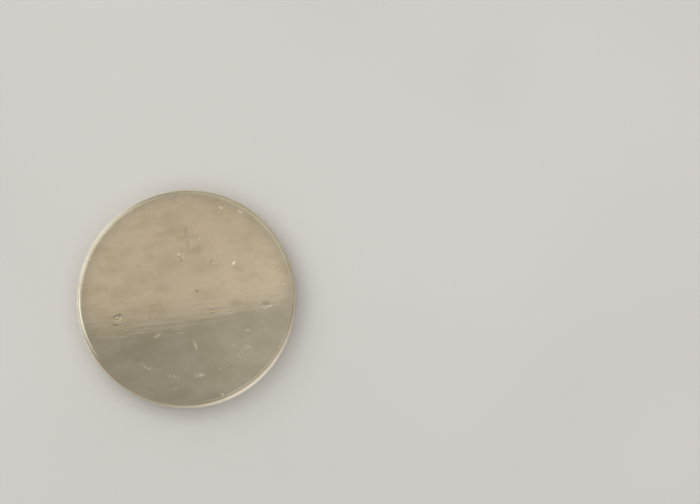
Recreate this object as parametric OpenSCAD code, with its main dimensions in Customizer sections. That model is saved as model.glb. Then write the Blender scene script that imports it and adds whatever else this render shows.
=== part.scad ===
// Lithium coin cell of size code 1620, lying on its negative face with the positive face up.
// Millimetres. The origin is the centre of the negative face, and +Z points at the positive face.
// Every metal shell is one pressed sheet, drawn as a half section of straight runs and bends.

/* [Cell] */
// Diameter over the positive can
cell_d = 16; // [12:0.5:24]
// Height over both contact faces
cell_h = 2; // [1.8:0.1:3.2]

/* [Positive can] */
// Thickness of the can's steel sheet
can_t = 0.2; // [0.15:0.01:0.22]
// Outside radius of the corner between the positive face and the wall
can_corner_r = 0.4; // [0.3:0.05:0.5]
// Radius of the gentle roll-off that the face has before its corner
crown_r = 12; // [6:1:20]
// Angle that the roll-off turns through
crown_angle = 4; // [1:0.5:5]
// Outside radius of the crimp that closes the can over the gasket
crimp_r = 0.8; // [0.7:0.02:0.84]
// Angle that the crimp turns inwards from the wall
crimp_angle = 82; // [75:1:86]
// Straight length of the lip past the crimp
lip_run = 0.28; // [0.2:0.02:0.34]
// Height of the lip over the surface that the cell lies on
lip_lift = 0.13; // [0.1:0.01:0.16]

/* [Negative cap] */
// Thickness of the cap's steel sheet
cap_t = 0.2; // [0.15:0.01:0.22]
// Radial width of the sealed joint, from the can's outside to the inner end of the cap's shoulder
seal_w = 1.28; // [1.24:0.02:1.4]
// Height of the shoulder over the negative face
cap_step = 0.5; // [0.48:0.01:0.54]
// Outside radius of the corner round the negative face
cap_corner_r = 0.35; // [0.3:0.01:0.38]
// Outside radius of the hollow bend at the foot of the raised face
cap_bend_r = 0.1; // [0.06:0.01:0.12]
// Lean of the short wall between that corner and that bend
cap_lean = 15; // [5:1:25]
// Outside radius of the bend from the shoulder to the skirt
skirt_corner_r = 0.35; // [0.3:0.01:0.4]

/* [Gasket] */
// Thickness of the ring between the can's wall and the cap's skirt
gasket_wall_t = 0.3; // [0.26:0.02:0.34]
// Thickness of the ring under the edge of the skirt
gasket_base_t = 0.35; // [0.3:0.01:0.4]
// Thickness of the ring's inner wall
gasket_inner_t = 0.3; // [0.2:0.02:0.36]
// Height by which the inner wall laps the skirt
gasket_lap = 0.45; // [0.3:0.05:0.5]
// Radius of the bead that shows between the lip and the cap
bead_r = 0.12; // [0.08:0.01:0.14]

/* [Electrodes] */
// Thickness of the lithium disc
lithium_t = 0.38; // [0.3:0.01:0.45]
// Radial room between the lithium disc and the corner of the cap
lithium_margin = 0.4; // [0.2:0.05:0.8]
// Thickness of the separator fleece
separator_t = 0.15; // [0.1:0.01:0.18]
// Outside radius of the bend in the separator
separator_corner_r = 0.25; // [0.2:0.01:0.3]
// Height to which the separator wraps the side of the pellet
separator_wrap_h = 0.62; // [0.4:0.02:0.7]
// Chamfer round the edges of the pressed pellet
pellet_chamfer = 0.12; // [0.08:0.01:0.16]

/* [Collector grid] */
// Thickness of the expanded steel grid
grid_t = 0.09; // [0.06:0.01:0.12]
// Radial room between the grid and the edge of the pellet
grid_margin = 0.55; // [0.3:0.05:1]
// Width of a diamond from strand to strand, the long way
mesh_long = 1.6; // [1.5:0.1:2.4]
// Width of a diamond from strand to strand, the short way
mesh_short = 1; // [0.9:0.1:1.5]
// Width of one strand
strand_w = 0.2; // [0.14:0.02:0.26]
// Share of the grid's thickness that the pellet is pressed into
grid_fill = 0.6; // [0.2:0.1:0.9]

/* [Hidden] */

$fn = 128;
// Straight chords that stand for each bend
bend_steps = 8;
// How far a fused solid starts inside the one that carries it
overlap = 0.05;

cell_r = cell_d / 2;
floor_z = cell_h - can_t;

// Bends of the can, from the positive face to the lip, as [centre, radius, from angle, to angle].
crown_end = 90 - crown_angle;
can_corner = [
    cell_r - can_corner_r,
    cell_h - crown_r + (crown_r - can_corner_r) * sin(crown_end)
];
crown_centre = can_corner - (crown_r - can_corner_r) * [cos(crown_end), sin(crown_end)];
crimp_z = lip_lift + crimp_r * sin(crimp_angle) + lip_run * cos(crimp_angle);
can_bends = [
    [crown_centre, crown_r, 90, crown_end],
    [can_corner, can_corner_r, crown_end, 0],
    [[cell_r - crimp_r, crimp_z], crimp_r, 0, -crimp_angle]
];

// Bends of the cap, from the negative face to the skirt.
skirt_r = cell_r - can_t - gasket_wall_t;
skirt_edge_z = floor_z - gasket_base_t;
shoulder_r = cell_r - seal_w;
cap_turn_r = cap_corner_r + cap_bend_r;
cap_wall_rise = cap_step - cap_turn_r + cap_turn_r * sin(cap_lean);
cap_flat_r = shoulder_r - cap_turn_r * cos(cap_lean) - cap_wall_rise * tan(cap_lean);
cap_bends = [
    [[cap_flat_r, cap_corner_r], cap_corner_r, -90, -cap_lean],
    [[shoulder_r, cap_step - cap_bend_r], cap_bend_r, 180 - cap_lean, 90],
    [[skirt_r - skirt_corner_r, cap_step + skirt_corner_r], skirt_corner_r, -90, 0]
];
skirt_run = skirt_edge_z - cap_step - skirt_corner_r;

// Inner wall of the gasket, which laps the inside of the skirt
skirt_inner_r = skirt_r - cap_t;
gasket_inner_r = skirt_inner_r - gasket_inner_t;
gasket_inner_z = skirt_edge_z - gasket_lap;
gasket_lead_in = gasket_inner_t / 3;

// Heights and radii of the electrode stack, from the cap up to the can's floor.
lithium_z = cap_t;
separator_z = lithium_z + lithium_t;
pellet_z = separator_z + separator_t;
grid_z = floor_z - grid_t;
lithium_r = cap_flat_r - lithium_margin;
separator_r = cap_flat_r;
pellet_r = separator_r - separator_t;
grid_r = pellet_r - grid_margin;
lithium_chamfer = 0.03;
separator_bends = [
    [
        [separator_r - separator_corner_r, separator_z + separator_corner_r],
        separator_corner_r,
        -90,
        0
    ]
];
separator_run = separator_wrap_h - separator_corner_r;

// One diamond opening keeps half a strand clear of the cell of the mesh that it stands in.
mesh_half = [mesh_long, mesh_short] / 2;
opening_half = mesh_half * (1 - strand_w / 2 * norm(mesh_half) / (mesh_half.x * mesh_half.y));
mesh_rows = ceil(grid_r / mesh_half.y);
mesh_columns = ceil(grid_r / mesh_half.x);

// Points along one bend
function arc(bend) = [
    for (i = [0:bend_steps])
        let (angle = bend[2] + (bend[3] - bend[2]) * i / bend_steps)
        bend[0] + bend[1] * [cos(angle), sin(angle)]
];

function turn(bend) = sign(bend[3] - bend[2]);

// The same bend on a face that lies t to the left of the path
function offset_bend(bend, t) = [bend[0], bend[1] - t * turn(bend), bend[2], bend[3]];

// Direction in which a bend ends
function heading(bend) = turn(bend) * [-sin(bend[3]), cos(bend[3])];

function last(list) = list[len(list) - 1];

function reversed(list) = [for (i = [len(list) - 1:-1:0]) list[i]];

// One face of a pressed sheet in half section. It starts on the axis at height z, follows the bends
// and goes straight on for run. It lies t to the left of the sheet's outer face.
function sheet_face(z, bends, run, t) =
    let (around = [for (bend = bends) each arc(offset_bend(bend, t))])
    concat([[0, z + t]], around, [last(around) + run * heading(last(bends))]);

// Points of a face that lie further out than r
function beyond(face, r) = [for (point = face) if (point.x > r) point];

function sheet_outline(z, bends, run, t) = concat(
    sheet_face(z, bends, run, 0),
    reversed(sheet_face(z, bends, run, t))
);

function disc_outline(r, low, high, chamfer) = [
    [0, low],
    [r - chamfer, low],
    [r, low + chamfer],
    [r, high - chamfer],
    [r - chamfer, high],
    [0, high]
];

// Half section of the gasket. It runs down the inside of the can, over half of the lip's cut edge,
// up the bead to the cap's shoulder, along the outside of the cap and round the edge of its skirt.
function gasket_outline() =
    let (
        inside_bends = [for (bend = can_bends) arc(offset_bend(bend, -can_t))],
        lip_inner_edge = last(sheet_face(cell_h, can_bends, lip_run, -can_t)),
        lip_outer_edge = last(sheet_face(cell_h, can_bends, lip_run, 0)),
        lip_middle = (lip_inner_edge + lip_outer_edge) / 2,
        bead_centre = [shoulder_r + bead_r, lip_middle.y + bead_r],
        cap_outside = sheet_face(0, cap_bends, skirt_run, 0)
    )
    [
        [gasket_inner_r, lookup(gasket_inner_r, inside_bends[0])],
        each beyond(inside_bends[0], gasket_inner_r),
        each inside_bends[1],
        each inside_bends[2],
        lip_inner_edge,
        lip_middle,
        each arc([bead_centre, bead_r, 270, 180]),
        [shoulder_r, cap_step],
        each beyond(cap_outside, shoulder_r),
        [skirt_inner_r, skirt_edge_z],
        [skirt_inner_r, gasket_inner_z + gasket_lead_in],
        [skirt_inner_r - gasket_lead_in, gasket_inner_z],
        [gasket_inner_r, gasket_inner_z]
    ];

module sheet(z, bends, run, t) {
    rotate_extrude()
        polygon(sheet_outline(z, bends, run, t));
}

// A pressed or punched disc with both edges chamfered
module disc(r, low, high, chamfer) {
    rotate_extrude()
        polygon(disc_outline(r, low, high, chamfer));
}

module mesh_opening() {
    polygon([
        [opening_half.x, 0],
        [0, opening_half.y],
        [-opening_half.x, 0],
        [0, -opening_half.y]
    ]);
}

// Every diamond that lies whole inside the rim of the grid, in staggered rows
module mesh_openings() {
    for (row = [-mesh_rows:mesh_rows], column = [-mesh_columns:mesh_columns]) {
        shift = row % 2 == 0 ? 0 : mesh_half.x;
        place = [column * mesh_long + shift, row * mesh_half.y];
        side = norm([abs(place.x) + opening_half.x, place.y]);
        tip = norm([place.x, abs(place.y) + opening_half.y]);
        if (max(side, tip) < grid_r - strand_w)
            translate(place)
                mesh_opening();
    }
}

// Drawn steel cup, crimped inwards over the gasket
module positive_can() {
    color([0.71, 0.65, 0.55])
        sheet(cell_h, can_bends, lip_run, -can_t);
}

// Stepped steel cap, whose skirt stands in the gasket
module negative_cap() {
    color([0.73, 0.71, 0.67])
        sheet(0, cap_bends, skirt_run, cap_t);
}

// J-shaped plastic ring that fills the joint between the can and the cap
module insulating_gasket() {
    color([0.2, 0.19, 0.18])
        rotate_extrude()
            polygon(gasket_outline());
}

// Expanded steel grid that carries the current from the pellet to the can's floor
module collector_grid() {
    color([0.6, 0.6, 0.6])
        translate([0, 0, grid_z])
            linear_extrude(grid_t)
                difference() {
                    circle(grid_r);
                    mesh_openings();
                }
}

// Pressed manganese dioxide pellet, which fills the openings of the grid for part of their depth
module cathode_pellet() {
    color([0.13, 0.13, 0.14]) {
        disc(pellet_r, pellet_z, grid_z, pellet_chamfer);
        translate([0, 0, grid_z - overlap])
            linear_extrude(overlap + grid_t * grid_fill)
                mesh_openings();
    }
}

// Fleece cup between the electrodes, with its edge wrapped round the pellet
module separator() {
    color([0.92, 0.91, 0.87])
        sheet(separator_z, separator_bends, separator_run, separator_t);
}

// Lithium foil disc, pressed on the inside of the cap
module lithium_disc() {
    color([0.66, 0.67, 0.7])
        disc(lithium_r, lithium_z, separator_z, lithium_chamfer);
}

positive_can();
insulating_gasket();
negative_cap();
collector_grid();
cathode_pellet();
separator();
lithium_disc();
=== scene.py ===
"""Looks of a lithium coin cell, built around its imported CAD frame.

The cell lies on its negative face, with the positive face up. The steel can, the gasket and the
steel cap are rebuilt here as fine revolved meshes, and the sealed pieces inside keep their CAD
meshes. Sizes are millimetres until a mesh, a lamp or a camera is made, and metres from there on.
"""

from __future__ import annotations

import logging
import math
from collections.abc import Callable
from dataclasses import dataclass, field
from enum import Enum
from typing import Any, Protocol

import bmesh
import bpy
from mathutils import Matrix, Vector
from mathutils.kdtree import KDTree


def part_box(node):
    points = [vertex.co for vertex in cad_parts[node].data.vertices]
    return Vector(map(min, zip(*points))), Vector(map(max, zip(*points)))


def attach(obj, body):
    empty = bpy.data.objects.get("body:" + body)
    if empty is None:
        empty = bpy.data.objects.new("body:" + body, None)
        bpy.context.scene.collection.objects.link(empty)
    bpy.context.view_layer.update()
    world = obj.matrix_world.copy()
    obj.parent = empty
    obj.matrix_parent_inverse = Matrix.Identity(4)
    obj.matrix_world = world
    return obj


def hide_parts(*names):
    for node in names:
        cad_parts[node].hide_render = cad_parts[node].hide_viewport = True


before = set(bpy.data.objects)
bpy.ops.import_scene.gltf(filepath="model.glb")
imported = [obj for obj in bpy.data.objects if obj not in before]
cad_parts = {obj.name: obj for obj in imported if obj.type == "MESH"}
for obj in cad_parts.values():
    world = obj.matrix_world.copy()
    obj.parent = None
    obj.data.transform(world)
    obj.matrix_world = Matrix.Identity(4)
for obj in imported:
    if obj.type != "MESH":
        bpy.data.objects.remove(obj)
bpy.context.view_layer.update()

MM = 0.001
BODY = "root"
ORIGIN = Vector((0.0, 0.0, 0.0))
UP = Vector((0.0, 0.0, 1.0))
DOWN = Vector((0.0, 0.0, -1.0))

# Direction on the positive face that is upright in the photograph
PHOTO_UP = Vector((0.0, 1.0, 0.0))

# Points of a mesh that are nearer than this are one point, in metres
MERGE_DISTANCE = 0.0001 * MM

# Sockets of the Mix node, which has a set of equally named ones for each kind of data
MIX_COLOUR_A = 6
MIX_COLOUR_B = 7
MIX_COLOUR_RESULT = 2

# Values between which nearly all of a noise pattern lies
NOISE_LOW = 0.3
NOISE_HIGH = 0.7

log = logging.getLogger("coin_cell")


def linear(hex_colour: str) -> tuple[float, float, float, float]:
    """Turn an sRGB hex value into a linear colour.

    Args:
        hex_colour: The colour as "#rrggbb".

    Returns:
        Linear red, green and blue, and an alpha of 1.
    """
    channels = [int(hex_colour[i : i + 2], 16) / 255 for i in (1, 3, 5)]
    red, green, blue = (c / 12.92 if c <= 0.04045 else ((c + 0.055) / 1.055) ** 2.4 for c in channels)
    return red, green, blue, 1.0


def add_node(
    tree: bpy.types.NodeTree,
    kind: str,
    settings: dict[str, Any] | None = None,
    inputs: dict[str | int, Any] | None = None,
) -> bpy.types.Node:
    """Add a node with its settings and links.

    Args:
        tree: The node tree that gets the node.
        kind: The node's type, such as "ShaderNodeBump".
        settings: The node's own properties by name.
        inputs: A value for each named or numbered input, or the output socket that feeds it.

    Returns:
        The new node.
    """
    node = tree.nodes.new(kind)
    for name, value in (settings or {}).items():
        setattr(node, name, value)
    for name, value in (inputs or {}).items():
        if isinstance(value, bpy.types.NodeSocket):
            tree.links.new(value, node.inputs[name])
        else:
            node.inputs[name].default_value = value
    return node


def at(r: float, z: float) -> Vector:
    """Return the point of a half section at a distance from the axis and a height."""
    return Vector((r, 0.0, z))


def along_and_across(right: float, above: float, turn: float) -> tuple[float, float]:
    """Split an offset on the positive face along and across a direction.

    Args:
        right: The offset to the right.
        above: The offset upwards.
        turn: Angle of the direction, in degrees.

    Returns:
        The part along the direction and the part across it.
    """
    angle = math.radians(turn)
    along = right * math.cos(angle) + above * math.sin(angle)
    across = above * math.cos(angle) - right * math.sin(angle)
    return along, across


@dataclass(frozen=True)
class Grain:
    """A noise pattern whose scale is a real size.

    Attributes:
        size: Length of one patch along X, Y and Z, in millimetres.
        turn: Angle of the pattern's X axis, in degrees.
        detail: Number of finer octaves on top of the first.
        roughness: Strength of each octave against the one before.
    """

    size: tuple[float, float, float]
    turn: float = 0.0
    detail: float = 2.0
    roughness: float = 0.5

    def add(self, tree: bpy.types.NodeTree) -> bpy.types.NodeSocket:
        """Add the pattern, on Object coordinates.

        Args:
            tree: The material's node tree.

        Returns:
            The socket of the pattern's value, from 0 to 1.
        """
        place = add_node(tree, "ShaderNodeTexCoord")
        fitted = add_node(
            tree,
            "ShaderNodeMapping",
            {"vector_type": "TEXTURE"},
            {
                "Vector": place.outputs["Object"],
                "Rotation": (0.0, 0.0, math.radians(self.turn)),
                "Scale": tuple(side * MM for side in self.size),
            },
        )
        noise = add_node(
            tree,
            "ShaderNodeTexNoise",
            {"noise_dimensions": "3D"},
            {
                "Vector": fitted.outputs["Vector"],
                "Scale": 1.0,
                "Detail": self.detail,
                "Roughness": self.roughness,
            },
        )
        return noise.outputs["Fac"]


@dataclass(frozen=True)
class Relief:
    """Height of a pattern that the light catches.

    Attributes:
        grain: The pattern.
        height: Height from its hollows to its crests, in millimetres.
    """

    grain: Grain
    height: float


@dataclass(frozen=True)
class Finish:
    """What every finish of the cell shares: a base, two tones of it, and reliefs.

    Attributes:
        name: Name of the material.
        slot: Name of a material slot, which is not used.
        colour: The surface as made, as sRGB.
        tone: The surface where it is stained, tarnished or uneven, as sRGB.
        tone_grain: Pattern between those two.
        tone_range: Values of that pattern at which the tone starts and is full.
        metallic: 1 for a metal and 0 for anything else.
        roughness: Least and greatest roughness.
        rough_grain: Pattern between those two.
        reliefs: Fine shapes of the surface, the coarsest first.
    """

    name: str
    slot: str
    colour: str
    tone: str
    tone_grain: Grain
    tone_range: tuple[float, float]
    metallic: float
    roughness: tuple[float, float]
    rough_grain: Grain
    reliefs: tuple[Relief, ...]

    def colour_socket(self, tree: bpy.types.NodeTree) -> bpy.types.NodeSocket:
        """Mix the two tones.

        Args:
            tree: The material's node tree.

        Returns:
            The colour's socket.
        """
        amount = add_node(
            tree,
            "ShaderNodeMapRange",
            {"interpolation_type": "SMOOTHSTEP"},
            {
                "Value": self.tone_grain.add(tree),
                "From Min": self.tone_range[0],
                "From Max": self.tone_range[1],
            },
        )
        mixed = add_node(
            tree,
            "ShaderNodeMix",
            {"data_type": "RGBA"},
            {
                "Factor": amount.outputs["Result"],
                MIX_COLOUR_A: linear(self.colour),
                MIX_COLOUR_B: linear(self.tone),
            },
        )
        return mixed.outputs[MIX_COLOUR_RESULT]

    def roughness_socket(self, tree: bpy.types.NodeTree) -> bpy.types.NodeSocket:
        """Spread the roughness over its range.

        Args:
            tree: The material's node tree.

        Returns:
            The roughness's socket.
        """
        spread = add_node(
            tree,
            "ShaderNodeMapRange",
            {},
            {
                "Value": self.rough_grain.add(tree),
                "From Min": NOISE_LOW,
                "From Max": NOISE_HIGH,
                "To Min": self.roughness[0],
                "To Max": self.roughness[1],
            },
        )
        return spread.outputs["Result"]

    def normal_socket(self, tree: bpy.types.NodeTree) -> bpy.types.NodeSocket | None:
        """Stack the reliefs as bumps.

        Args:
            tree: The material's node tree.

        Returns:
            The socket of the last bump's normal, or None if the finish has no relief.
        """
        normal = None
        for relief in self.reliefs:
            inputs = {
                "Strength": 1.0,
                "Distance": relief.height * MM,
                "Height": relief.grain.add(tree),
            }
            if normal is not None:
                inputs["Normal"] = normal
            normal = add_node(tree, "ShaderNodeBump", {}, inputs).outputs["Normal"]
        return normal

    def shader_inputs(self, tree: bpy.types.NodeTree) -> dict[str, Any]:
        """Gather what the shader is given.

        Args:
            tree: The material's node tree.

        Returns:
            A value or a socket for each of the shader's inputs, by name.
        """
        inputs = {
            "Base Color": self.colour_socket(tree),
            "Metallic": self.metallic,
            "Roughness": self.roughness_socket(tree),
        }
        normal = self.normal_socket(tree)
        if normal is not None:
            inputs["Normal"] = normal
        return inputs

    def material(self) -> bpy.types.Material:
        """Build the finish as a node material.

        Returns:
            The material.
        """
        made = bpy.data.materials.new(self.name)
        made.use_nodes = True
        tree = made.node_tree
        tree.nodes.clear()
        shader = add_node(tree, "ShaderNodeBsdfPrincipled", {}, self.shader_inputs(tree))
        add_node(tree, "ShaderNodeOutputMaterial", {}, {"Surface": shader.outputs["BSDF"]})
        return made


@dataclass(frozen=True)
class WornNickelPlate(Finish):
    """Nickel plate that has been handled: stained where the face was marked or smeared, with painted shade
    and painted highlights beside some marks.

    Attributes:
        stain: Name of the mesh attribute that holds the stain, from -1 for dark to 1 for bright, with
            painted shade and painted highlights beside some marks.
        dark_stain_and_shade: Colour of a full dark stain, and of the painted shade, as sRGB.
        bright_stain_and_highlight: Colour of a rubbed bright spot, and of the painted highlights, as sRGB.
    """

    stain: str = "stain"
    dark_stain_and_shade: str = "#8f8369"
    bright_stain_and_highlight: str = "#f2ecd8"

    def colour_socket(self, tree: bpy.types.NodeTree) -> bpy.types.NodeSocket:
        """Lay the stains of the mesh, with their painted shade and painted highlights, over the two tones.

        Args:
            tree: The material's node tree.

        Returns:
            The colour's socket.
        """
        under = super().colour_socket(tree)
        read = add_node(tree, "ShaderNodeAttribute", {"attribute_name": self.stain})
        # Negative values lay the dark stains and the painted shade, positive ones the bright stains and
        # the painted highlights
        for sign, colour in ((-1.0, self.dark_stain_and_shade), (1.0, self.bright_stain_and_highlight)):
            amount = add_node(
                tree,
                "ShaderNodeMath",
                {"operation": "MULTIPLY", "use_clamp": True},
                {0: read.outputs["Fac"], 1: sign},
            )
            laid = add_node(
                tree,
                "ShaderNodeMix",
                {"data_type": "RGBA"},
                {
                    "Factor": amount.outputs["Value"],
                    MIX_COLOUR_A: under,
                    MIX_COLOUR_B: linear(colour),
                },
            )
            under = laid.outputs[MIX_COLOUR_RESULT]
        return under


# Nickel-plated stainless strip, rolled and then drawn: a warm satin metal. The rolling leaves long
# low lines that break up the edge of a reflection, and handling leaves a fine uneven scuff. Real
# rolling lines are a few hundredths of a millimetre wide, too fine for the render, so they are drawn
# ten times as wide.
NICKEL_PLATE = WornNickelPlate(
    name="nickel_plated_stainless",
    slot="can_steel",
    colour="#d4c8ae",
    tone="#c7bc9e",
    tone_grain=Grain(size=(2.4, 1.6, 1.6), turn=10.0, detail=6.0, roughness=0.65),
    tone_range=(0.38, 0.68),
    metallic=1.0,
    roughness=(0.1, 0.15),
    rough_grain=Grain(size=(0.9, 0.5, 0.5), turn=10.0, detail=3.0),
    reliefs=(
        Relief(Grain(size=(6.0, 3.0, 3.0), turn=10.0, detail=1.0), height=0.003),
        Relief(Grain(size=(3.0, 0.34, 0.34), turn=7.0, detail=1.5), height=0.009),
        Relief(Grain(size=(0.2, 0.16, 0.16), detail=2.0), height=0.0003),
    ),
)

# Bare stainless strip, drawn and annealed: a cooler and slightly duller satin metal. Its rolling
# lines are drawn a few times as wide as real ones, so that they show.
DRAWN_STAINLESS = Finish(
    name="drawn_stainless",
    slot="cap_steel",
    colour="#cfccc4",
    tone="#c7c3b9",
    tone_grain=Grain(size=(3.6, 0.7, 0.7), turn=35.0, detail=5.0, roughness=0.6),
    tone_range=(0.36, 0.7),
    metallic=1.0,
    roughness=(0.2, 0.27),
    rough_grain=Grain(size=(2.4, 0.3, 0.3), turn=35.0, detail=3.0),
    reliefs=(
        Relief(Grain(size=(5.0, 2.5, 2.5), turn=35.0, detail=1.0), height=0.002),
        Relief(Grain(size=(3.0, 0.12, 0.12), turn=35.0, detail=2.0), height=0.0012),
        Relief(Grain(size=(0.2, 0.16, 0.16), detail=2.0), height=0.0004),
    ),
)

# Injection-moulded polypropylene with carbon black: a soft low sheen on a faintly pebbled skin.
MOULDED_POLYPROPYLENE = Finish(
    name="moulded_polypropylene",
    slot="gasket_polypropylene",
    colour="#2c2a28",
    tone="#383532",
    tone_grain=Grain(size=(0.6, 0.6, 0.6), detail=3.0),
    tone_range=(0.35, 0.7),
    metallic=0.0,
    roughness=(0.38, 0.5),
    rough_grain=Grain(size=(0.3, 0.3, 0.3)),
    reliefs=(Relief(Grain(size=(0.12, 0.12, 0.12)), height=0.0015),),
)

# Expanded stainless foil: bright strands with drag marks from the slitting knives.
EXPANDED_STAINLESS = Finish(
    name="expanded_stainless",
    slot="grid_steel",
    colour="#c4c4c2",
    tone="#a9a9a6",
    tone_grain=Grain(size=(0.5, 0.2, 0.2), detail=3.0),
    tone_range=(0.4, 0.65),
    metallic=1.0,
    roughness=(0.22, 0.34),
    rough_grain=Grain(size=(0.4, 0.1, 0.1)),
    reliefs=(Relief(Grain(size=(0.8, 0.05, 0.05)), height=0.001),),
)

# Pressed manganese dioxide and graphite: a dull black powder body with a faint graphite glint. Its
# grains are drawn about twice as coarse as real ones, so that they show.
PRESSED_MANGANESE = Finish(
    name="pressed_manganese_dioxide",
    slot="cathode_mix",
    colour="#242426",
    tone="#3a3a3d",
    tone_grain=Grain(size=(0.15, 0.15, 0.15), detail=4.0),
    tone_range=(0.45, 0.7),
    metallic=0.0,
    roughness=(0.6, 0.85),
    rough_grain=Grain(size=(0.1, 0.1, 0.1)),
    reliefs=(Relief(Grain(size=(0.08, 0.08, 0.08), detail=3.0), height=0.008),),
)

# Melt-blown polypropylene fleece: matt white, with crossed fibres. Real fibres are a few thousandths
# of a millimetre thick, too fine to show, so what is drawn are bundles of them.
MELT_BLOWN_FLEECE = Finish(
    name="melt_blown_fleece",
    slot="separator_fleece",
    colour="#ebe9df",
    tone="#d8d5c8",
    tone_grain=Grain(size=(0.4, 0.06, 0.06), turn=25.0, detail=3.0),
    tone_range=(0.4, 0.7),
    metallic=0.0,
    roughness=(0.75, 0.95),
    rough_grain=Grain(size=(0.3, 0.05, 0.05), turn=-40.0),
    reliefs=(
        Relief(Grain(size=(0.5, 0.04, 0.04), turn=25.0), height=0.01),
        Relief(Grain(size=(0.5, 0.04, 0.04), turn=-40.0), height=0.01),
    ),
)

# Extruded and rolled lithium foil: a soft silvery metal that has dulled to grey.
ROLLED_LITHIUM = Finish(
    name="rolled_lithium",
    slot="lithium_foil",
    colour="#b9bbc2",
    tone="#8f9098",
    tone_grain=Grain(size=(1.2, 0.6, 0.6), detail=4.0),
    tone_range=(0.4, 0.7),
    metallic=1.0,
    roughness=(0.35, 0.5),
    rough_grain=Grain(size=(1.0, 0.3, 0.3)),
    reliefs=(Relief(Grain(size=(3.0, 0.12, 0.12)), height=0.002),),
)

# Matt coated board: a pale, even studio floor. It is no part of the cell, so it has no slot.
MATT_BOARD = Finish(
    name="matt_board",
    slot="",
    colour="#e9e6e1",
    tone="#e4e1dc",
    tone_grain=Grain(size=(40.0, 40.0, 40.0)),
    tone_range=(0.35, 0.65),
    metallic=0.0,
    roughness=(0.75, 0.85),
    rough_grain=Grain(size=(5.0, 5.0, 5.0)),
    reliefs=(),
)


@dataclass(frozen=True)
class Bend:
    """One bend of a half section, in millimetres and degrees, on the outer face of its sheet.

    Attributes:
        centre: Distance from the axis and height of the bend's centre.
        radius: Radius of the bend.
        start: Angle at which it starts.
        end: Angle at which it ends.
        steps: Number of chords that stand for it.
    """

    centre: tuple[float, float]
    radius: float
    start: float
    end: float
    steps: int = 16

    @property
    def turn(self) -> float:
        """1 where the bend turns left and -1 where it turns right."""
        return math.copysign(1.0, self.end - self.start)

    def points(self, inset: float = 0.0) -> list[Vector]:
        """Place the bend's points on one face of its sheet.

        Args:
            inset: How far that face lies to the left of the path.

        Returns:
            The points from the bend's start to its end.
        """
        radius = self.radius - inset * self.turn
        middle = at(*self.centre)
        angles = [
            math.radians(self.start + (self.end - self.start) * step / self.steps)
            for step in range(self.steps + 1)
        ]
        return [middle + radius * at(math.cos(angle), math.sin(angle)) for angle in angles]

    def heading(self) -> Vector:
        """Return the direction in which the bend ends."""
        end = math.radians(self.end)
        return self.turn * at(-math.sin(end), math.cos(end))


@dataclass(frozen=True)
class PressedSheet:
    """Half section of a pressed sheet: a flat from the axis, then bends, then a straight run.

    Attributes:
        flat_z: Height of the flat's outer face.
        bends: The bends in order from the flat.
        run: Straight length past the last bend.
        thickness: Thickness of the sheet, to the left of the path if it is positive.
        flat_rings: Number of rings that the outer face's flat is divided into.
    """

    flat_z: float
    bends: tuple[Bend, ...]
    run: float
    thickness: float
    flat_rings: int

    def face(self, inset: float) -> list[Vector]:
        """Return the points of one face, from the end of the flat to the cut edge."""
        points = [point for bend in self.bends for point in bend.points(inset)]
        return [*points, points[-1] + self.run * self.bends[-1].heading()]

    def outline(self) -> list[Vector]:
        """Draw the whole half section.

        Returns:
            Its points, from the axis on the outer face to the axis on the inner one.
        """
        outer = self.face(0.0)
        flat = [at(outer[0].x * ring / self.flat_rings, self.flat_z) for ring in range(self.flat_rings)]
        axis_inside = at(0.0, self.flat_z + self.thickness)
        return [*flat, *outer, *reversed(self.face(self.thickness)), axis_inside]


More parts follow.
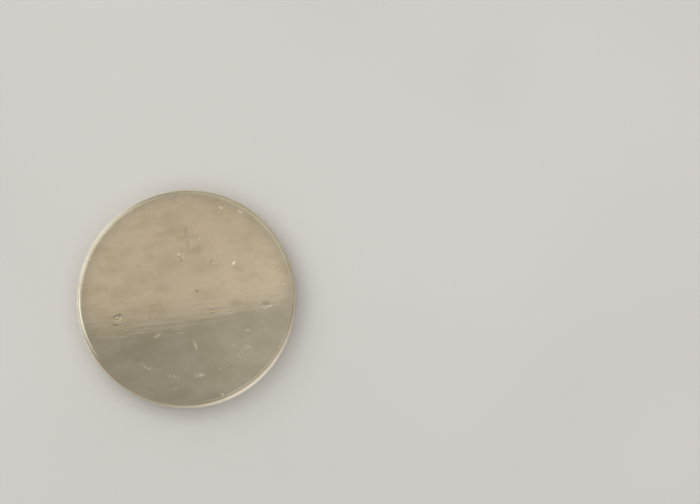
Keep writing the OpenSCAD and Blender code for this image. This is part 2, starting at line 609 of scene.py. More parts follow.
@dataclass
class CellSection:
    """Sizes of the crimped joint, in millimetres and degrees, and the half sections they give.

    Attributes:
        can_sheet: Thickness of the can's sheet.
        can_corner_r: Outside radius of the corner between the positive face and the wall.
        crown_r: Radius of the gentle roll-off that the face has before its corner.
        crown_angle: Angle that the roll-off turns through.
        crimp_r: Outside radius of the crimp that closes the can over the gasket.
        crimp_angle: Angle that the crimp turns inwards from the wall.
        lip_run: Straight length of the lip past the crimp.
        can_rings: Number of rings in the positive face.
        cap_sheet: Thickness of the cap's sheet.
        cap_corner_r: Outside radius of the corner round the negative face.
        cap_bend_r: Radius of the hollow bend at the foot of the raised face.
        cap_lean: Lean of the short wall between that corner and that bend.
        cap_step: Height of the shoulder over the negative face.
        skirt_corner_r: Outside radius of the bend from the shoulder to the skirt.
        cap_rings: Number of rings in the negative face.
        seal_width: Distance from the can's outside to the inner end of the shoulder.
        gasket_inner: Thickness of the gasket's inner wall.
        gasket_lap: Height by which the inner wall laps the skirt.
        gasket_lead_in: Width and height of the chamfer at that wall's end.
        bead_r: Radius of the bead that shows between the lip and the cap.
        cell_r: Radius of the cell, from the frame.
        cell_h: Height of the cell, from the frame.
        lip_z: Height of the lip's lowest point, from the frame.
        skirt_r: Outside radius of the skirt, from the frame.
        skirt_z: Height of the skirt's edge, from the frame.
        shoulder_r: Radius of the shoulder's inner end.
    """

    can_sheet: float = 0.2
    can_corner_r: float = 0.4
    crown_r: float = 12.0
    crown_angle: float = 4.0
    crimp_r: float = 0.8
    crimp_angle: float = 82.0
    lip_run: float = 0.28
    can_rings: int = 80
    cap_sheet: float = 0.2
    cap_corner_r: float = 0.35
    cap_bend_r: float = 0.1
    cap_lean: float = 15.0
    cap_step: float = 0.5
    skirt_corner_r: float = 0.35
    cap_rings: int = 60
    seal_width: float = 1.28
    gasket_inner: float = 0.3
    gasket_lap: float = 0.45
    gasket_lead_in: float = 0.1
    bead_r: float = 0.12
    cell_r: float = field(init=False)
    cell_h: float = field(init=False)
    lip_z: float = field(init=False)
    skirt_r: float = field(init=False)
    skirt_z: float = field(init=False)
    shoulder_r: float = field(init=False)

    def __post_init__(self) -> None:
        """Read the driving sizes from the frame."""
        can_low, can_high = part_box("positive_can")
        cap_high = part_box("negative_cap")[1]
        self.cell_r = can_high.x / MM
        self.cell_h = can_high.z / MM
        self.lip_z = can_low.z / MM
        self.skirt_r = cap_high.x / MM
        self.skirt_z = cap_high.z / MM
        self.shoulder_r = self.cell_r - self.seal_width

    def can(self) -> PressedSheet:
        """Draw the can's section.

        Returns:
            The section, from the positive face to the lip.
        """
        crown_end = 90.0 - self.crown_angle
        reach = self.crown_r - self.can_corner_r
        corner = (
            self.cell_r - self.can_corner_r,
            self.cell_h - self.crown_r + reach * math.sin(math.radians(crown_end)),
        )
        crown = (
            corner[0] - reach * math.cos(math.radians(crown_end)),
            corner[1] - reach * math.sin(math.radians(crown_end)),
        )
        crimp_turn = math.radians(self.crimp_angle)
        crimp_z = self.lip_z + self.crimp_r * math.sin(crimp_turn) + self.lip_run * math.cos(crimp_turn)
        return PressedSheet(
            flat_z=self.cell_h,
            bends=(
                Bend(crown, self.crown_r, 90.0, crown_end, steps=10),
                Bend(corner, self.can_corner_r, crown_end, 0.0, steps=20),
                Bend((self.cell_r - self.crimp_r, crimp_z), self.crimp_r, 0.0, -self.crimp_angle),
            ),
            run=self.lip_run,
            thickness=-self.can_sheet,
            flat_rings=self.can_rings,
        )

    def cap(self) -> PressedSheet:
        """Draw the cap's section.

        Returns:
            The section, from the negative face to the edge of the skirt.
        """
        lean = math.radians(self.cap_lean)
        turn_r = self.cap_corner_r + self.cap_bend_r
        rise = self.cap_step - turn_r + turn_r * math.sin(lean)
        flat_r = self.shoulder_r - turn_r * math.cos(lean) - rise * math.tan(lean)
        skirt_corner = (self.skirt_r - self.skirt_corner_r, self.cap_step + self.skirt_corner_r)
        return PressedSheet(
            flat_z=0.0,
            bends=(
                Bend((flat_r, self.cap_corner_r), self.cap_corner_r, -90.0, -self.cap_lean),
                Bend(
                    (self.shoulder_r, self.cap_step - self.cap_bend_r),
                    self.cap_bend_r,
                    180.0 - self.cap_lean,
                    90.0,
                    steps=10,
                ),
                Bend(skirt_corner, self.skirt_corner_r, -90.0, 0.0),
            ),
            run=self.skirt_z - skirt_corner[1],
            thickness=self.cap_sheet,
            flat_rings=self.cap_rings,
        )

    def gasket(self) -> list[Vector]:
        """Draw the gasket's section, seated on the can and the cap.

        Returns:
            The points of its closed outline, from its inner wall along the can.
        """
        can = self.can()
        corner, crimp = (bend.points(can.thickness) for bend in can.bends[1:])
        lip_inner, lip_outer = can.face(can.thickness)[-1], can.face(0.0)[-1]
        lip_middle = (lip_inner + lip_outer) / 2
        bead = Bend((self.shoulder_r + self.bead_r, lip_middle.z + self.bead_r), self.bead_r, 270.0, 180.0)
        skirt_inner = self.skirt_r - self.cap_sheet
        inner = skirt_inner - self.gasket_inner
        inner_z = self.skirt_z - self.gasket_lap
        return [
            at(inner, corner[0].z),
            *corner,
            *crimp,
            lip_inner,
            lip_middle,
            *bead.points(),
            at(self.shoulder_r, self.cap_step),
            *self.cap().bends[-1].points(),
            at(self.skirt_r, self.skirt_z),
            at(skirt_inner, self.skirt_z),
            at(skirt_inner, inner_z + self.gasket_lead_in),
            at(skirt_inner - self.gasket_lead_in, inner_z),
            at(inner, inner_z),
        ]


class FaceShape(Protocol):
    """Something pressed into the positive face, or left on it."""

    x: float
    y: float
    depth: float

    @property
    def reach(self) -> float:
        """Radius of the circle that holds the shape, in millimetres."""

    def covers(self, x: float, y: float, margin: float) -> bool:
        """Return whether a point is in the shape's outline, grown by a margin."""

    def lift(self, x: float, y: float) -> float:
        """Return how far the shape lifts the face at a point, in millimetres."""

    def tone(self, x: float, y: float) -> float:
        """Return the shape's stain at a point, from -1 for dark to 1 for bright."""


class MarkKind(Enum):
    """How a mark on the positive face was made."""

    DENT = "a rounded hollow"
    PIP = "a point that stands in a hollow and ends level with the face"
    SMEAR = "a stain with no depth"


# Size of a raised point against the hollow that it stands in
PIP_SHARE = 0.32


@dataclass(frozen=True)
class FaceMark:
    """One mark on the positive face, with an oval outline.

    Attributes:
        kind: How it was made.
        x: Its place to the right of the centre, in millimetres.
        y: Its place above the centre, in millimetres.
        length: Its length, in millimetres.
        width: Its width, in millimetres.
        turn: Angle of its length, in degrees.
        depth: Its depth, in millimetres.
        stain: Its tone, from -1 for dark to 1 for bright.
    """

    kind: MarkKind
    x: float
    y: float
    length: float
    width: float
    turn: float = 0.0
    depth: float = 0.0
    stain: float = 0.0

    @property
    def reach(self) -> float:
        """Radius of the circle that holds the mark."""
        return max(self.length, self.width) / 2

    def oval(self, x: float, y: float, margin: float = 0.0) -> float:
        """Tell how far out in the mark's oval a point lies.

        Args:
            x: Place of the point to the right of the face's centre, in millimetres.
            y: Place of the point above it.
            margin: Width by which the oval is grown.

        Returns:
            The square of the point's distance from the middle, where the oval's own is 1.
        """
        along, across = along_and_across(x - self.x, y - self.y, self.turn)
        return (along / (self.length / 2 + margin)) ** 2 + (across / (self.width / 2 + margin)) ** 2

    def covers(self, x: float, y: float, margin: float) -> bool:
        """Return whether a point is in the mark's oval, grown by a margin."""
        return self.oval(x, y, margin) < 1

    def weight(self, x: float, y: float, share: float = 1.0) -> float:
        """Tell how strongly the mark works at a point.

        Args:
            x: Place of the point to the right of the face's centre, in millimetres.
            y: Place of the point above it.
            share: Size of the oval that is asked about, against the mark's own.

        Returns:
            A weight from 0 at the oval's edge to 1 in its middle.
        """
        square = self.oval(x, y) / share**2
        return (1 - square) ** 2 if square < 1 else 0.0

    def lift(self, x: float, y: float) -> float:
        """Return how far the mark lifts the face at a point, in millimetres."""
        point = self.weight(x, y, PIP_SHARE) if self.kind is MarkKind.PIP else 0.0
        return self.depth * (point - self.weight(x, y))

    def tone(self, x: float, y: float) -> float:
        """Return the mark's stain at a point."""
        return self.stain * self.weight(x, y)


@dataclass(frozen=True)
class PolarityStamp:
    """The plain plus sign that is pressed into the positive face.

    Attributes:
        x: Its centre to the right of the face's centre, in millimetres.
        y: Its centre above the face's centre, in millimetres.
        span: Length of each bar, in millimetres.
        bar: Width of each bar, in millimetres.
        depth: Depth of the pressing, in millimetres.
        edge: Width of the slope round it, in millimetres.
        turn: Angle that it is turned by, in degrees.
        stain: Tone of its floor, which is painted shade, from -1 for dark to 1 for bright.
    """

    x: float = 0.1
    y: float = 4.4
    span: float = 1.75
    bar: float = 0.4
    depth: float = 0.016
    edge: float = 0.16
    turn: float = 7.0
    # Darker floor: painted shade that makes the shallow pressing show
    stain: float = -0.15

    @property
    def reach(self) -> float:
        """Radius of the circle that holds the stamp."""
        return self.span / 2 + self.edge

    def outside(self, x: float, y: float) -> float:
        """Measure how far outside the sign a point lies.

        Args:
            x: Place of the point to the right of the face's centre, in millimetres.
            y: Place of the point above it.

        Returns:
            The distance in millimetres, which is negative inside the sign.
        """
        along, across = along_and_across(x - self.x, y - self.y, self.turn)
        near, far = sorted((abs(along), abs(across)))
        return max(near - self.bar / 2, far - self.span / 2)

    def covers(self, x: float, y: float, margin: float) -> bool:
        """Return whether a point is on the sign or its slopes, grown by a margin."""
        return self.outside(x, y) < self.edge / 2 + margin

    def share(self, x: float, y: float) -> float:
        """Return 0 outside the sign, 1 on its floor, and a smooth step on its slopes."""
        ramp = min(max(0.5 - self.outside(x, y) / self.edge, 0.0), 1.0)
        return ramp * ramp * (3 - 2 * ramp)

    def lift(self, x: float, y: float) -> float:
        """Return how far the stamp lifts the face at a point, in millimetres."""
        return -self.depth * self.share(x, y)

    def tone(self, x: float, y: float) -> float:
        """Return the stamp's stain at a point, which is painted shade on its floor."""
        return self.stain * self.share(x, y)


@dataclass(frozen=True)
class StrokeLegend:
    """Groups of plain strokes, pressed along the lower rim of the positive face.

    Attributes:
        radius: Distance of the strokes' middles from the centre, in millimetres.
        pitch: Angle from one stroke to the next, in degrees.
        groups: Angle of each group's first stroke, and its number of strokes.
        length: Greatest length of a stroke, in millimetres.
        width: Width of a stroke, in millimetres.
        sway: Greatest angle by which a stroke leans, in degrees.
        depth: Greatest depth of a stroke, in millimetres.
        stain: Greatest tone of a stroke.
        wear: How far the depth and the tone vary either way, as a share of the greatest.
        shortening: How far the length varies either way, as a share of the greatest.
        rhythms: Steps, from one stroke to the next, of the waves that vary the wear, the length
            and the lean, in radians.
    """

    radius: float = 5.8
    pitch: float = 3.1
    groups: tuple[tuple[float, int], ...] = ((236.0, 5), (259.0, 4), (278.0, 3), (296.0, 3), (313.0, 4))
    length: float = 0.6
    width: float = 0.28
    sway: float = 22.0
    depth: float = 0.014
    stain: float = 0.26
    wear: float = 0.25
    shortening: float = 0.2
    rhythms: tuple[float, float, float] = (1.3, 2.4, 1.9)

    def marks(self) -> list[FaceMark]:
        """Lay the strokes out, each a little different from wear.

        Returns:
            The strokes as marks of the face.
        """
        angles = [start + self.pitch * number for start, count in self.groups for number in range(count)]
        wear_step, length_step, lean_step = self.rhythms
        made = []
        for number, angle in enumerate(angles):
            worn = 1 - self.wear + self.wear * math.sin(wear_step * number)
            shortened = 1 - self.shortening + self.shortening * math.cos(length_step * number)
            made.append(
                FaceMark(
                    MarkKind.DENT,
                    self.radius * math.cos(math.radians(angle)),
                    self.radius * math.sin(math.radians(angle)),
                    self.length * shortened,
                    self.width,
                    angle + self.sway * math.sin(lean_step * number),
                    depth=self.depth * worn,
                    stain=self.stain * worn,
                )
            )
        return made


# Dents, raised points, scratches, rubbed lines and smears that the photograph shows on the positive
# face. Each has its place, its length, its width and its turn in this order.
# Some of their stains are painted shade and painted highlights, as noted where they stand.
HANDLING_MARKS = (
    FaceMark(MarkKind.PIP, -5.0, -1.45, 0.9, 0.7, 35, depth=0.022, stain=-0.05),
    # Dark stain by the raised point before it: painted shade of that point's far side
    FaceMark(MarkKind.DENT, -4.8, -1.25, 0.4, 0.3, 30, depth=0.01, stain=-0.45),
    FaceMark(MarkKind.PIP, -0.45, 3.15, 1.3, 0.9, 70, depth=0.028, stain=-0.1),
    # Dark stain below the raised point before it: painted shade of that point's lower side
    FaceMark(MarkKind.DENT, -0.28, 2.8, 0.5, 0.32, 80, depth=0.008, stain=-0.5),
    FaceMark(MarkKind.DENT, 1.84, 2.59, 0.85, 0.6, 80, depth=0.022, stain=-0.3),
    FaceMark(MarkKind.DENT, 0.83, 0.44, 0.36, 0.3, 0, depth=0.012, stain=-0.7),
    # Dent whose dark stain is painted shade of its slope
    FaceMark(MarkKind.DENT, 5.86, -0.6, 0.7, 0.55, 10, depth=0.022, stain=-0.3),
    FaceMark(MarkKind.DENT, -4.7, 4.03, 0.3, 0.24, 0, depth=0.014, stain=-0.35),
    FaceMark(MarkKind.DENT, -1.87, 1.73, 0.42, 0.26, 0, depth=0.012, stain=-0.35),
    FaceMark(MarkKind.DENT, -3.41, 2.35, 0.6, 0.5, 0, depth=0.008, stain=-0.12),
    FaceMark(MarkKind.DENT, 2.74, 1.05, 0.7, 0.55, 0, depth=0.008, stain=-0.1),
    FaceMark(MarkKind.DENT, 3.47, 2.53, 0.55, 0.24, 55, depth=0.03, stain=0.6),
    FaceMark(MarkKind.DENT, 2.55, 6.59, 0.36, 0.26, 0, depth=0.025, stain=0.6),
    FaceMark(MarkKind.DENT, 3.97, 6.28, 0.46, 0.24, -20, depth=0.025, stain=0.7),
    FaceMark(MarkKind.DENT, 7.09, 0.93, 0.26, 0.2, 90, depth=0.015, stain=0.5),
    FaceMark(MarkKind.DENT, -5.99, 2.59, 0.95, 0.14, 50, depth=0.008, stain=0.35),
    FaceMark(MarkKind.DENT, 0.78, -3.5, 1.2, 0.32, -71, depth=0.02, stain=0.5),
    FaceMark(MarkKind.DENT, -2.06, -2.69, 0.9, 0.3, 40, depth=0.009, stain=0.3),
    FaceMark(MarkKind.DENT, -2.67, 0.56, 0.7, 0.14, 8, depth=0.008, stain=0.5),
    FaceMark(MarkKind.DENT, 4.58, -2.39, 0.75, 0.24, 4, depth=0.01, stain=0.3),
    FaceMark(MarkKind.DENT, 4.58, -3.67, 0.8, 0.3, 8, depth=0.01, stain=0.35),
    FaceMark(MarkKind.DENT, 3.6, -3.5, 0.5, 0.24, 0, depth=0.01, stain=0.25),
    FaceMark(MarkKind.DENT, -0.72, -6.62, 0.42, 0.32, 0, depth=0.012, stain=0.4),
    FaceMark(MarkKind.DENT, 1.0, -5.65, 0.75, 0.42, 30, depth=0.018, stain=0.45),
    FaceMark(MarkKind.DENT, 2.77, -7.1, 0.45, 0.3, -20, depth=0.03, stain=0.7),
    FaceMark(MarkKind.DENT, -0.88, 7.8, 0.36, 0.26, 5, depth=0.03, stain=0.7),
    FaceMark(MarkKind.DENT, -5.12, -2.0, 0.6, 0.3, -10, depth=0.01, stain=-0.3),
    FaceMark(MarkKind.DENT, -2.66, -1.4, 0.8, 0.12, 95, depth=0.005, stain=-0.3),
    FaceMark(MarkKind.DENT, -2.2, -1.04, 0.5, 0.2, 60, depth=0.006, stain=0.25),
    FaceMark(MarkKind.DENT, -0.53, 0.93, 0.9, 0.12, 80, depth=0.005, stain=-0.25),
    # Bright stain beside the dent at (5.86, -0.6): a painted highlight
    FaceMark(MarkKind.DENT, 6.22, -0.64, 0.3, 0.2, 0, depth=0.012, stain=0.6),
    FaceMark(MarkKind.DENT, 1.92, -0.92, 0.9, 0.16, 4, depth=0.003, stain=-0.3),
    FaceMark(MarkKind.DENT, 1.95, -1.16, 0.6, 0.14, 6, depth=0.003, stain=-0.25),
    FaceMark(MarkKind.DENT, 3.3, -1.12, 1.1, 0.16, 10, depth=0.004, stain=0.3),
    FaceMark(MarkKind.DENT, 1.7, -1.42, 1.3, 0.15, 8, depth=0.004, stain=0.25),
    FaceMark(MarkKind.DENT, 0.2, -1.72, 0.9, 0.16, 8, depth=0.003, stain=-0.25),
    FaceMark(MarkKind.DENT, -0.7, -2.28, 1.3, 0.15, 3, depth=0.004, stain=0.2),
    FaceMark(MarkKind.DENT, -0.25, -2.56, 0.9, 0.15, 2, depth=0.004, stain=0.2),
    FaceMark(MarkKind.DENT, -3.35, -2.46, 1.1, 0.16, 3, depth=0.004, stain=0.25),
    FaceMark(MarkKind.DENT, -4.1, -2.98, 0.9, 0.15, 4, depth=0.003, stain=-0.2),
    FaceMark(MarkKind.DENT, -4.7, -2.8, 1.4, 0.15, 6, depth=0.004, stain=0.2),
    FaceMark(MarkKind.SMEAR, 2.46, 3.38, 0.55, 0.5, 0, stain=0.14),
    FaceMark(MarkKind.SMEAR, -4.1, -4.76, 1.3, 1.1, 0, stain=0.12),
    FaceMark(MarkKind.SMEAR, -2.5, -5.1, 2.2, 1.1, -25, stain=0.12),
    FaceMark(MarkKind.SMEAR, -1.7, 0.75, 1.9, 1.2, 8, stain=-0.22),
    FaceMark(MarkKind.SMEAR, 0.7, 3.45, 2.2, 0.9, 12, stain=-0.2),
    FaceMark(MarkKind.SMEAR, 3.84, 2.1, 1.6, 0.9, -12, stain=-0.16),
    FaceMark(MarkKind.SMEAR, 3.6, -0.42, 1.3, 0.9, 8, stain=-0.24),
    FaceMark(MarkKind.SMEAR, -1.5, 4.75, 3.6, 0.7, 12, stain=-0.14),
)


@dataclass
class Shell:
    """A revolved piece of the cell.

    Attributes:
        name: Name of the piece.
        node: The CAD node that it stands for.
        finish: Its finish.
        segments: Number of facets round it.
        sectors: Number of equal sectors that it is revolved in, which is much quicker than one.
        crease: Angle past which an edge stays sharp, in degrees.
    """

    name: str
    node: str
    finish: Finish
    segments: int = 256
    sectors: int = 8
    crease: float = 32.0

    def spin(self, outline: list[Vector], closed: bool) -> bmesh.types.BMesh:
        """Revolve an outline once round the cell's axis.

        Args:
            outline: Points of the half section, in millimetres.
            closed: Whether the last point joins the first. If not, both lie on the axis.

        Returns:
            A closed mesh with its faces turned outwards, in metres.
        """
        made = bmesh.new()
        corners = [made.verts.new(point * MM) for point in outline]
        joined = list(zip(corners, corners[1:]))
        if closed:
            joined.append((corners[-1], corners[0]))
        edges = [made.edges.new(pair) for pair in joined]
        sector = math.tau / self.sectors
        turns = {"cent": (0.0, 0.0, 0.0), "axis": UP, "dvec": (0.0, 0.0, 0.0)}
        steps = self.segments // self.sectors
        bmesh.ops.spin(made, geom=[*corners, *edges], angle=sector, steps=steps, **turns)
        bmesh.ops.spin(
            made,
            geom=[*made.verts, *made.edges, *made.faces],
            angle=math.tau - sector,
            steps=self.sectors - 1,
            use_duplicate=True,
            **turns,
        )
        bmesh.ops.remove_doubles(made, verts=made.verts, dist=MERGE_DISTANCE)
        bmesh.ops.recalc_face_normals(made, faces=made.faces)
        return made

    def place(self, made: bmesh.types.BMesh) -> bpy.types.Object:
        """Turn a finished bmesh into a dressed piece that stands for its CAD node.

        Args:
            made: The mesh, which is freed.

        Returns:
            The piece.
        """
        limit = math.radians(self.crease)
        for face in made.faces:
            face.smooth = True
        for edge in made.edges:
            edge.smooth = edge.is_manifold and edge.calc_face_angle() < limit
        mesh = bpy.data.meshes.new(self.name)
        made.to_mesh(mesh)
        made.free()
        mesh.materials.append(self.finish.material())
        piece = bpy.data.objects.new(self.name, mesh)
        bpy.context.scene.collection.objects.link(piece)
        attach(piece, BODY)
        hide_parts(self.node)
        log.info("%s: %d faces, stands for %s", self.name, len(mesh.polygons), self.node)
        return piece


@dataclass
class PositiveCan(Shell):
    """The drawn can, with its stamp, its legend and its handling marks.

    Attributes:
        finish: Its finish, which shows the stains, painted shade and painted highlights that the marks
            store in the mesh.
        stamp: The plus sign.
        legend: The groups of strokes.
        marks: The handling marks.
        refine_margin: Width round a mark in which the mesh is made finer, in millimetres.
        refine_cuts: Number of cuts in each edge there.
    """

    finish: WornNickelPlate
    stamp: PolarityStamp = PolarityStamp()
    legend: StrokeLegend = StrokeLegend()
    marks: tuple[FaceMark, ...] = HANDLING_MARKS
    refine_margin: float = 0.1
    refine_cuts: int = 2

    def build(self, section: CellSection) -> bpy.types.Object:
        """Revolve the can, press its marks into it and dress it.

        Args:
            section: Sizes of the crimped joint.

        Returns:
            The piece.
        """
        made = self.spin(section.can().outline(), closed=False)
        shapes = [self.stamp, *self.marks, *self.legend.marks()]
        face_floor = (section.cell_h - section.can_sheet / 2) * MM
        self.refine(made, shapes, face_floor)
        self.press(made, shapes, face_floor)
        return self.place(made)

    def face_lookup(
        self, made: bmesh.types.BMesh, face_floor: float
    ) -> Callable[[float, float, float], list[bmesh.types.BMVert]]:
        """Index the outer face's vertices by their place.

        Args:
            made: The can's mesh.
            face_floor: Height above which a vertex belongs to the outer face, in metres.

        Returns:
            A function that gives the vertices within a circle, in millimetres.
        """
        top = [vertex for vertex in made.verts if vertex.co.z > face_floor]
        tree = KDTree(len(top))
        for index, vertex in enumerate(top):
            tree.insert((vertex.co.x, vertex.co.y, 0.0), index)
        tree.balance()

        def within(x: float, y: float, radius: float) -> list[bmesh.types.BMVert]:
            """Return the vertices within a circle on the face."""
            return [top[index] for _, index, _ in tree.find_range((x * MM, y * MM, 0.0), radius * MM)]

        return within

    def refine(self, made: bmesh.types.BMesh, shapes: list[FaceShape], face_floor: float) -> None:
        """Cut the face's edges more finely round each pressed shape.

        Args:
            made: The can's mesh.
            shapes: What is pressed into the face.
            face_floor: Height above which a vertex belongs to the outer face, in metres.
        """
        within = self.face_lookup(made, face_floor)
        near = set()
        for shape in shapes:
            if shape.depth:
                near.update(
                    vertex
                    for vertex in within(shape.x, shape.y, shape.reach + self.refine_margin)
                    if shape.covers(vertex.co.x / MM, vertex.co.y / MM, self.refine_margin)
                )
        edges = [edge for edge in made.edges if edge.verts[0] in near and edge.verts[1] in near]
        bmesh.ops.subdivide_edges(made, edges=edges, cuts=self.refine_cuts, use_grid_fill=True)

    def press(self, made: bmesh.types.BMesh, shapes: list[FaceShape], face_floor: float) -> None:
        """Move the face's vertices to the depth of the shapes, and store their stains, painted shade and
        painted highlights.

        Args:
            made: The can's mesh.
            shapes: What is pressed into the face.
            face_floor: Height above which a vertex belongs to the outer face, in metres.
        """
        stain = made.verts.layers.float.new(self.finish.stain)
        within = self.face_lookup(made, face_floor)
        for shape in shapes:
            for vertex in within(shape.x, shape.y, shape.reach):
                x, y = vertex.co.x / MM, vertex.co.y / MM
                vertex.co.z += shape.lift(x, y) * MM
                vertex[stain] += shape.tone(x, y)


@dataclass
class InsulatingGasket(Shell):
    """The moulded ring between the can and the cap."""

    def build(self, section: CellSection) -> bpy.types.Object:
        """Revolve the gasket and dress it."""
        return self.place(self.spin(section.gasket(), closed=True))


@dataclass
class NegativeCap(Shell):
    """The stepped cap whose flat is the negative contact."""

    def build(self, section: CellSection) -> bpy.types.Object:
        """Revolve the cap and dress it."""
        return self.place(self.spin(section.cap().outline(), closed=False))


@dataclass(frozen=True)
class ElectrodeStack:
    """The sealed pieces, which keep their CAD meshes and get their finishes.

    Attributes:
        finishes: The CAD node of each piece, and its finish.
    """

    finishes: tuple[tuple[str, Finish], ...] = (
        ("collector_grid", EXPANDED_STAINLESS),
        ("cathode_pellet", PRESSED_MANGANESE),
        ("separator", MELT_BLOWN_FLEECE),
        ("lithium_disc", ROLLED_LITHIUM),
    )

    def dress(self) -> None:
        """Give each sealed piece its material."""
        for node, finish in self.finishes:
            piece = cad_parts[node]
            piece.data.materials.clear()
            piece.data.materials.append(finish.material())
            log.info("%s: dressed with %s", node, finish.name)


@dataclass(frozen=True)
class PhotoCamera:
    """A camera that sees the cell as the photograph does.

    Attributes:
        frame_px: Width and height of the photograph, in pixels.
        cell_px: Where the photograph has the middle of the positive face, in pixels.
        cell_width_px: Width of the cell in the photograph, in pixels.
        cell_width: The same width on the real cell, in millimetres.
        tilt: Angle between the line of sight and the cell's axis, in degrees.
        lean: Direction in which the camera leans off the axis, in degrees.
        distance: Distance from the cell, in millimetres.
        sensor: Width of the sensor, in millimetres.
        clip_factor: How many times nearer or farther than the cell a thing is still seen.
    """

    frame_px: tuple[float, float] = (700.0, 504.0)
    cell_px: tuple[float, float] = (185.6, 297.7)
    cell_width_px: float = 219.5
    cell_width: float = 16.0
    tilt: float = 9.5
    lean: float = -55.0
    distance: float = 500.0
    sensor: float = 36.0
    clip_factor: float = 100.0

    def build(self) -> bpy.types.Object:
        """Make the camera and aim it so that the cell falls on its pixels.

        Returns:
            The camera.
        """
        tilt, lean = math.radians(self.tilt), math.radians(self.lean)
        off_axis = math.sin(tilt)
        toward = Vector((off_axis * math.cos(lean), off_axis * math.sin(lean), math.cos(tilt)))
        target = Vector((0.0, 0.0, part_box("positive_can")[1].z))
        mm_per_px = self.cell_width / self.cell_width_px
        right = PHOTO_UP.cross(toward).normalized()
        above = toward.cross(right)
        aside = (self.frame_px[0] / 2 - self.cell_px[0]) * mm_per_px * MM
        higher = (self.cell_px[1] - self.frame_px[1] / 2) * mm_per_px * MM
        aim = target + aside * right + higher * above
        place = target + toward * self.distance * MM
        ahead = (aim - place).normalized()
        side = ahead.cross(above).normalized()
        turned = Matrix((side, side.cross(ahead), -ahead)).transposed()

        data = bpy.data.cameras.new("camera")
        data.sensor_width = self.sensor
        data.lens = self.sensor * self.distance / (self.frame_px[0] * mm_per_px)
        data.clip_start = self.distance * MM / self.clip_factor
        data.clip_end = self.distance * MM * self.clip_factor
        camera = bpy.data.objects.new("camera", data)
        camera.matrix_world = Matrix.Translation(place) @ turned.to_4x4()
        bpy.context.scene.collection.objects.link(camera)
        bpy.context.scene.camera = camera
        log.info("camera: %.1f mm lens at %.0f mm", data.lens, self.distance)
        return camera


class Reach(Enum):
    """What a lamp works on."""

    FLOOR = "lights matt things only"
    GLOSS = "is only mirrored in shiny things"


class Facing(Enum):
    """Where a lamp's face is turned."""

    CELL = "towards the cell"
    DOWN = "straight down"
    UP = "straight up"


class LampShape(Enum):
    """Outline of a lamp's face, by Blender's own name for it."""

    RECTANGLE = "RECTANGLE"
    ELLIPSE = "ELLIPSE"

    @property
    def share(self) -> float:
        """Share of its width times its height that the face covers."""
        return math.pi / 4 if self is LampShape.ELLIPSE else 1.0


@dataclass(frozen=True)
class Pool:
    """A round pool of light on a lamp's face, outside which the face is dark.

    Attributes:
        centre: Middle of the pool, in millimetres.
        inner: Distance from it up to which the face is fully bright.
        outer: Distance from it at which the face is dark.
    """

    centre: tuple[float, float, float]
    inner: float
    outer: float


# Half the width of a lamp's face, in the face's own coordinates
HALF_FACE = 0.5


@dataclass(frozen=True)
class SoftLamp:
    """An area lamp that the camera doesn't see.

    Attributes:
        name: Name of the lamp.
        place: Its place, in millimetres.
        size: Its width and height, in millimetres.
        radiance: Brightness of its face, where 1 is white.
        reach: What it works on.
        colour: Its colour, as sRGB.
        shape: Outline of its face.
        facing: Where its face is turned.
        fade: Share of its half width in which its face dims to nothing towards the edge.
        pools: Pools that the lit part of its face lies in, if it isn't the whole.
    """

    name: str
    place: tuple[float, float, float]
    size: tuple[float, float]
    radiance: float
    reach: Reach
    colour: str = "#ffffff"
    shape: LampShape = LampShape.RECTANGLE
    facing: Facing = Facing.CELL
    fade: float = 0.0
    pools: tuple[Pool, ...] = ()

    def direction(self) -> Vector:
        """Find the direction in which the lamp's face is turned.

        Returns:
            The direction, with a length of 1.
        """
        if self.facing is Facing.CELL:
            return (ORIGIN - Vector(self.place)).normalized()
        return UP if self.facing is Facing.UP else DOWN

    def build(self) -> bpy.types.Object:
        """Make the lamp, with the power that gives its face its radiance.

        Returns:
            The lamp.
        """
        data = bpy.data.lights.new(self.name, "AREA")
        data.shape = self.shape.value
        data.size, data.size_y = (side * MM for side in self.size)
        area = data.size * data.size_y * self.shape.share
        data.energy = self.radiance * math.pi * area
        data.color = linear(self.colour)[:3]
        if self.fade or self.pools:
            self.dim(data)
        lamp = bpy.data.objects.new(self.name, data)
        lamp.location = Vector(self.place) * MM
        lamp.rotation_mode = "QUATERNION"
        lamp.rotation_quaternion = self.direction().to_track_quat("-Z", "Y")
        lamp.visible_camera = False
        lamp.visible_diffuse = self.reach is Reach.FLOOR
        lamp.visible_glossy = self.reach is Reach.GLOSS
        bpy.context.scene.collection.objects.link(lamp)
        return lamp

    def dim(self, data: bpy.types.AreaLight) -> None:
        """Dim the lamp's face towards its edge and outside its pools, as cloth over a bulb does.

        Args:
            data: The lamp's data.
        """
        data.use_nodes = True
        tree = data.node_tree
        tree.nodes.clear()
        face = add_node(tree, "ShaderNodeNewGeometry")
        limits = [
            ("Position", tuple(side * MM for side in pool.centre), pool.inner * MM, pool.outer * MM)
            for pool in self.pools
        ]
        if self.fade:
            # The face's own coordinates run from 0 to 1 each way
            middle = (HALF_FACE, HALF_FACE, 0.0)
            limits.append(("Parametric", middle, HALF_FACE * (1.0 - self.fade), HALF_FACE))
        strength: float | bpy.types.NodeSocket = 1.0
        for place, centre, inner, outer in limits:
            distance = add_node(
                tree,
                "ShaderNodeVectorMath",
                {"operation": "DISTANCE"},
                {0: face.outputs[place], 1: centre},
            )
            dimmed = add_node(
                tree,
                "ShaderNodeMapRange",
                {"interpolation_type": "SMOOTHSTEP"},
                {
                    "Value": distance.outputs["Value"],
                    "From Min": inner,
                    "From Max": outer,
                    "To Min": strength,
                    "To Max": 0.0,
                },
            )
            strength = dimmed.outputs["Result"]
        glow = add_node(tree, "ShaderNodeEmission", {}, {"Strength": strength})
        add_node(tree, "ShaderNodeOutputLight", {}, {"Surface": glow.outputs["Emission"]})


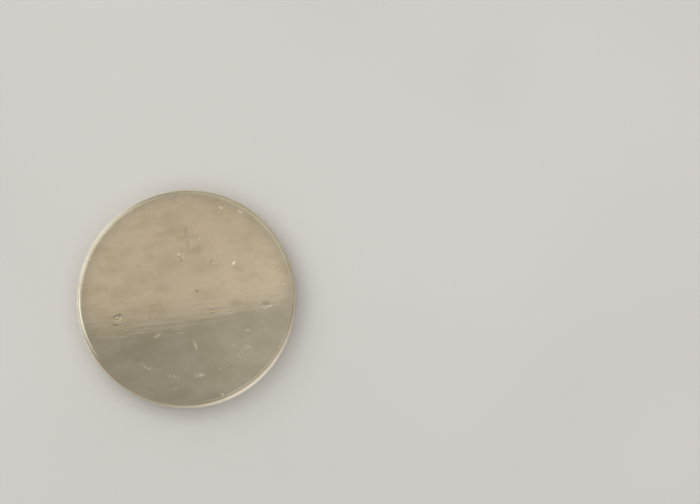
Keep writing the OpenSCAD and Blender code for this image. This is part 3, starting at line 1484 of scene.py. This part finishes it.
@dataclass(frozen=True)
class Studio:
    """The floor, the ambient light and the lamps.

    Attributes:
        floor_size: Side of the floor, in millimetres.
        ambient: Brightness of the room, where 1 is white.
        ambient_colour: Colour of the room, as sRGB.
        lamps: The lamps.
    """

    floor_size: float = 6000.0
    ambient: float = 0.42
    ambient_colour: str = "#ffffff"
    lamps: tuple[SoftLamp, ...] = (
        # Soft key at the upper left, which gives the shadow
        SoftLamp(
            name="key",
            place=(-270.0, 180.0, 350.0),
            size=(520.0, 390.0),
            radiance=0.7,
            colour="#fffaf2",
            reach=Reach.FLOOR,
        ),
        # Overhead fill, which keeps the shadow light
        SoftLamp(
            name="fill",
            place=(0.0, 0.0, 900.0),
            size=(1400.0, 1400.0),
            radiance=0.58,
            reach=Reach.FLOOR,
        ),
        # High window at the upper left, which the dents mirror
        SoftLamp(
            name="high_window",
            place=(-187.0, 158.0, 377.0),
            size=(340.0, 240.0),
            radiance=0.75,
            colour="#f4f7ff",
            reach=Reach.GLOSS,
            fade=0.5,
        ),
        # Wide card at the upper right, which keeps the rim there from going dark
        SoftLamp(
            name="upper_card",
            place=(172.0, 246.0, 230.0),
            size=(1000.0, 760.0),
            radiance=0.33,
            reach=Reach.GLOSS,
            fade=0.8,
        ),
        # Low wide window at the upper left, which lights the rim there
        SoftLamp(
            name="low_window",
            place=(-406.0, 220.0, 170.0),
            size=(1000.0, 480.0),
            radiance=1.15,
            colour="#e7f1ff",
            reach=Reach.GLOSS,
            fade=0.7,
        ),
        # Smaller window at the left, which lights the rim there
        SoftLamp(
            name="left_window",
            place=(-405.0, -20.0, 290.0),
            size=(300.0, 600.0),
            radiance=0.75,
            colour="#e7f1ff",
            reach=Reach.GLOSS,
            fade=0.7,
        ),
        # Low card at the lower right, which lights the rim there
        SoftLamp(
            name="low_card",
            place=(235.0, -215.0, 260.0),
            size=(700.0, 760.0),
            radiance=0.25,
            colour="#fafbff",
            reach=Reach.GLOSS,
            fade=0.7,
        ),
        # Bright patches of floor beside the cell, which light the outer half of the rim and the wall
        SoftLamp(
            name="left_table",
            place=(-15.6, 7.6, 0.1),
            size=(42.0, 42.0),
            radiance=0.8,
            colour="#e7f1ff",
            shape=LampShape.ELLIPSE,
            reach=Reach.GLOSS,
            facing=Facing.UP,
            fade=0.9,
        ),
        SoftLamp(
            name="right_table",
            place=(8.6, -11.8, 0.1),
            size=(25.0, 25.0),
            radiance=0.78,
            colour="#f0f6ff",
            shape=LampShape.ELLIPSE,
            reach=Reach.GLOSS,
            facing=Facing.UP,
            fade=0.9,
        ),
        # Warm panel close over the upper part of the face. One pool keeps it over the cell. The
        # soft edge of the other, so wide that it is nearly straight, is what the face mirrors as
        # the boundary between its two tones.
        SoftLamp(
            name="warm_panel",
            place=(-28.74, 157.42, 14.0),
            size=(320.0, 320.0),
            radiance=0.3,
            colour="#ffe9da",
            shape=LampShape.ELLIPSE,
            reach=Reach.GLOSS,
            facing=Facing.DOWN,
            pools=(
                Pool(centre=(-1.0, 1.75, 14.0), inner=6.3, outer=12.5),
                Pool(centre=(-20.65, 158.63, 14.0), inner=157.4, outer=162.0),
            ),
        ),
        # Pale panel close over the right of the face, which is a little lighter there
        SoftLamp(
            name="pale_panel",
            place=(6.77, -1.3, 20.0),
            size=(24.0, 24.0),
            radiance=0.14,
            shape=LampShape.ELLIPSE,
            reach=Reach.GLOSS,
            facing=Facing.DOWN,
            pools=(Pool(centre=(6.77, -1.3, 20.0), inner=2.0, outer=11.5),),
        ),
    )

    def build(self) -> None:
        """Make the floor, the room and the lamps."""
        self.build_floor()
        world = bpy.data.worlds.new("room")
        world.use_nodes = True
        background = world.node_tree.nodes["Background"]
        background.inputs["Color"].default_value = linear(self.ambient_colour)
        background.inputs["Strength"].default_value = self.ambient
        scene = bpy.context.scene
        scene.world = world
        scene.view_settings.view_transform = "Standard"
        for lamp in self.lamps:
            lamp.build()
        log.info("studio: %d lamps", len(self.lamps))

    def build_floor(self) -> bpy.types.Object:
        """Make the pale floor that the cell lies on.

        Returns:
            The floor.
        """
        made = bmesh.new()
        bmesh.ops.create_grid(made, x_segments=1, y_segments=1, size=self.floor_size / 2 * MM)
        mesh = bpy.data.meshes.new("floor")
        made.to_mesh(mesh)
        made.free()
        mesh.materials.append(MATT_BOARD.material())
        floor = bpy.data.objects.new("floor", mesh)
        bpy.context.scene.collection.objects.link(floor)
        return floor


def main() -> None:
    """Build the camera, the studio and every piece of the cell in order."""
    logging.basicConfig(level=logging.INFO, format="%(name)s: %(message)s")
    PhotoCamera().build()
    Studio().build()
    section = CellSection()
    PositiveCan("positive_can_shell", "positive_can", NICKEL_PLATE, segments=360).build(section)
    InsulatingGasket("insulating_gasket_ring", "insulating_gasket", MOULDED_POLYPROPYLENE).build(section)
    NegativeCap("negative_cap_shell", "negative_cap", DRAWN_STAINLESS).build(section)
    ElectrodeStack().dress()


if __name__ == "__main__":
    main()
